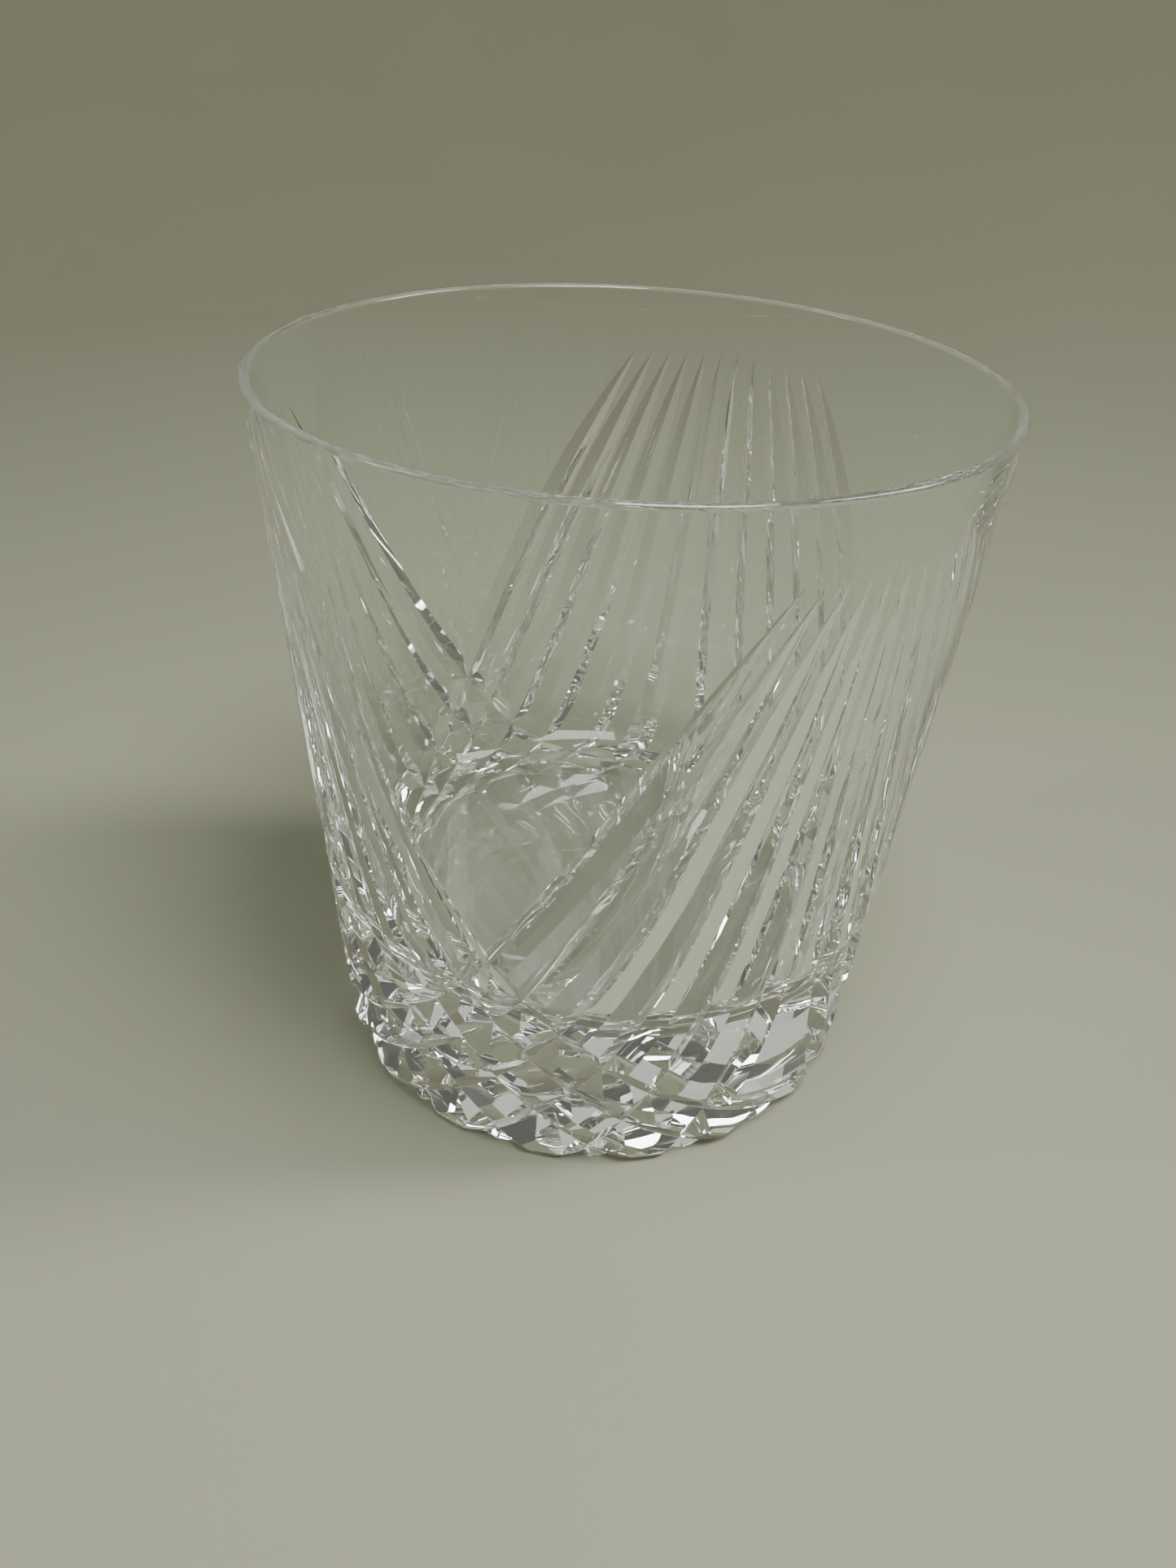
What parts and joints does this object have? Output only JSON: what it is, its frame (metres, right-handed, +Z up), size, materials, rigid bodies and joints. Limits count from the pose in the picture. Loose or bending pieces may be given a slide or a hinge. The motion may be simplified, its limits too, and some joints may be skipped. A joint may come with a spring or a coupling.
{
  "type": "whiskey tumbler",
  "caption": "Low, wide drinking glass of clear cut crystal, with a thick base, a tapered wall, fans of mitre cuts and raised diamonds around the foot.",
  "frame": {"origin": "centre of the foot, on the surface that the glass stands on", "axes": "+Z up along the axis of the glass, towards the rim; -Y towards the viewer of the picture"},
  "size_m": [0.09, 0.09, 0.0945],
  "materials": {
    "crystal": "clear colourless lead crystal, polished"
  },
  "bodies": {
    "root": {"tumbler": "crystal"}
  },
  "joints": []
}
